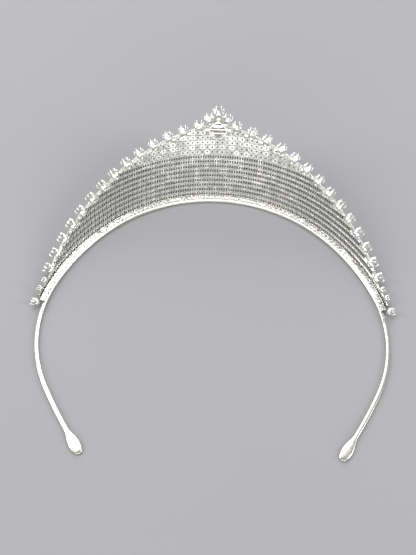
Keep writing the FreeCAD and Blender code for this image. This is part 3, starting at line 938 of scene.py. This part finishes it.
def crest_turns():
    """Turns of the collets on one side, evenly spaced along the crest."""
    turns, turn = [], COLLET_FIRST
    while len(turns) < COLLET_COUNT:
        turns.append(turn)
        here, gone = panel_point(turn, crest_rise(turn)), 0.0
        while gone < COLLET_GAP:
            turn += FINE_TURN
            there = panel_point(turn, crest_rise(turn))
            gone += (there - here).length
            here = there
    return turns


def set_collets(name, places, nodes):
    """The collets and the stones at these places, as two pieces."""
    settings = copies(collet_master, f"{name}_settings", places)
    finish(settings, [plate_silver], nodes[:1])
    stones = copies(brilliant_master, f"{name}_brilliants", places)
    finish(stones, [brilliant_glass], nodes[1:], smooth=0)


for word, side in (("left", 1), ("right", -1)):
    places = [level_seat(side * turn, crest_rise(turn)) for turn in crest_turns()]
    set_collets(f"crest_{word}", places, [f"crest_collets_{word}", f"crest_stones_{word}"])

CENTRE_TOP_SCALE, CENTRE_TOP, CENTRE_SIDE = 1.14, 38.6, 35.9
CENTRE_REACH, CENTRE_FAN = 3.6, math.radians(6.0)
side_turn = CENTRE_REACH / (FRONT_RADIUS + PANEL_FOOT + CENTRE_SIDE * math.sin(LEAN))
top_place = level_seat(0.0, CENTRE_TOP, 0.0, CENTRE_TOP_SCALE)
set_collets("centre_top", [top_place], ["centre_top_collet", "centre_top_stone"])
for word, side in (("left", 1), ("right", -1)):
    place = level_seat(side * side_turn, CENTRE_SIDE, side * CENTRE_FAN)
    set_collets(f"centre_{word}", [place], [f"centre_{word}_collet", f"centre_{word}_stone"])

END_TURN, END_RISE, END_SCALE = math.radians(76.4), 1.15, 0.75
places = [level_seat(side * END_TURN, END_RISE, 0.0, END_SCALE) for side in (1, -1)]
set_collets("end", places, ["end_collets", "end_stones"])

TAIL_FIRST, TAIL_STEP, TAIL_SCALE = math.radians(66.2), math.radians(4.2), 0.5
COLLET_BASE, TAIL_SINK = 1.6, 0.6
TAIL_RISE = ROW_PITCH + COLLET_BASE * TAIL_SCALE * TAIL_SINK
places = []
for turn in (TAIL_FIRST, TAIL_FIRST + TAIL_STEP):
    places += [level_seat(side * turn, TAIL_RISE, 0.0, TAIL_SCALE) for side in (1, -1)]
set_collets("tail", places, ["tail_collets", "tail_stones"])

# --- Floor, light and camera --------------------------------------------------------------
# The tiara stands on a round table top of pale matt board. Five soft lamps stand round it: a
# low one behind, one overhead, one in front and a strip at each side.

FLOOR_RADIUS, FLOOR_SIDES = 0.72, 96
disc = {"radius": FLOOR_RADIUS, "vertices": FLOOR_SIDES, "fill_type": "NGON"}
floor = add_primitive("circle", "table_top", **disc)
board = Shader("table_matt", Roughness=0.8)
board.colour(board.noise(3.0, 3.0), (0.31, 0.31, 0.32), (0.34, 0.34, 0.35))
give(floor, [board.material])

LAMP_TARGET = Vector((0, -0.03, 0.02))
LAMPS = [
    # name, place and size in metres, and power in watts
    ("behind_low", (0.0, 0.75, 0.22), (1.2, 0.3), 3.8),
    ("overhead", (0.15, -0.35, 0.8), (0.7, 0.35), 3.0),
    ("front", (0.0, -0.85, 0.45), (1.0, 0.5), 4),
    ("left_strip", (-0.7, 0.15, 0.5), (0.25, 0.6), 3),
    ("right_strip", (0.7, 0.05, 0.5), (0.25, 0.6), 3),
]
for name, place, (wide, tall), power in LAMPS:
    lamp = bpy.data.lights.new(name, "AREA")
    lamp.shape = "RECTANGLE"
    lamp.size, lamp.size_y, lamp.energy = wide, tall, power
    holder = bpy.data.objects.new(name, lamp)
    bpy.context.collection.objects.link(holder)
    holder.location = place
    holder.rotation_euler = (LAMP_TARGET - Vector(place)).to_track_quat("-Z", "Y").to_euler()

world = bpy.data.worlds.new("studio")
bpy.context.scene.world = world
world.use_nodes = True
daylight = world.node_tree.nodes["Background"]
daylight.inputs["Color"].default_value = (0.5, 0.5, 0.52, 1)
daylight.inputs["Strength"].default_value = 0.8
bpy.context.scene.view_settings.view_transform = "Standard"

CAMERA_UP, CAMERA_ROUND = math.radians(60.0), math.radians(178.15)
CAMERA_ROLL, CAMERA_AWAY = math.radians(3.27), 0.430
CAMERA_AIM = Vector((0.0027, -0.0221, 0.0134))
camera = bpy.data.cameras.new("camera")
camera.sensor_fit = "HORIZONTAL"
camera.sensor_width, camera.lens = 36.0, 90.8
camera.clip_start, camera.clip_end = 0.01, 20
camera_object = bpy.data.objects.new("camera", camera)
bpy.context.collection.objects.link(camera_object)
back = normal(CAMERA_ROUND) * math.cos(CAMERA_UP) + UP * math.sin(CAMERA_UP)
across = UP.cross(back).normalized()
level_view = Matrix((across, back.cross(across), back)).transposed().to_4x4()
rolled = level_view @ Matrix.Rotation(CAMERA_ROLL, 4, "Z")
camera_object.matrix_world = Matrix.Translation(CAMERA_AIM + back * CAMERA_AWAY) @ rolled
bpy.context.scene.camera = camera_object

for master in (window_cup, pin_cup, chaton_master, bead, collet_master, brilliant_master):
    bpy.data.objects.remove(master)
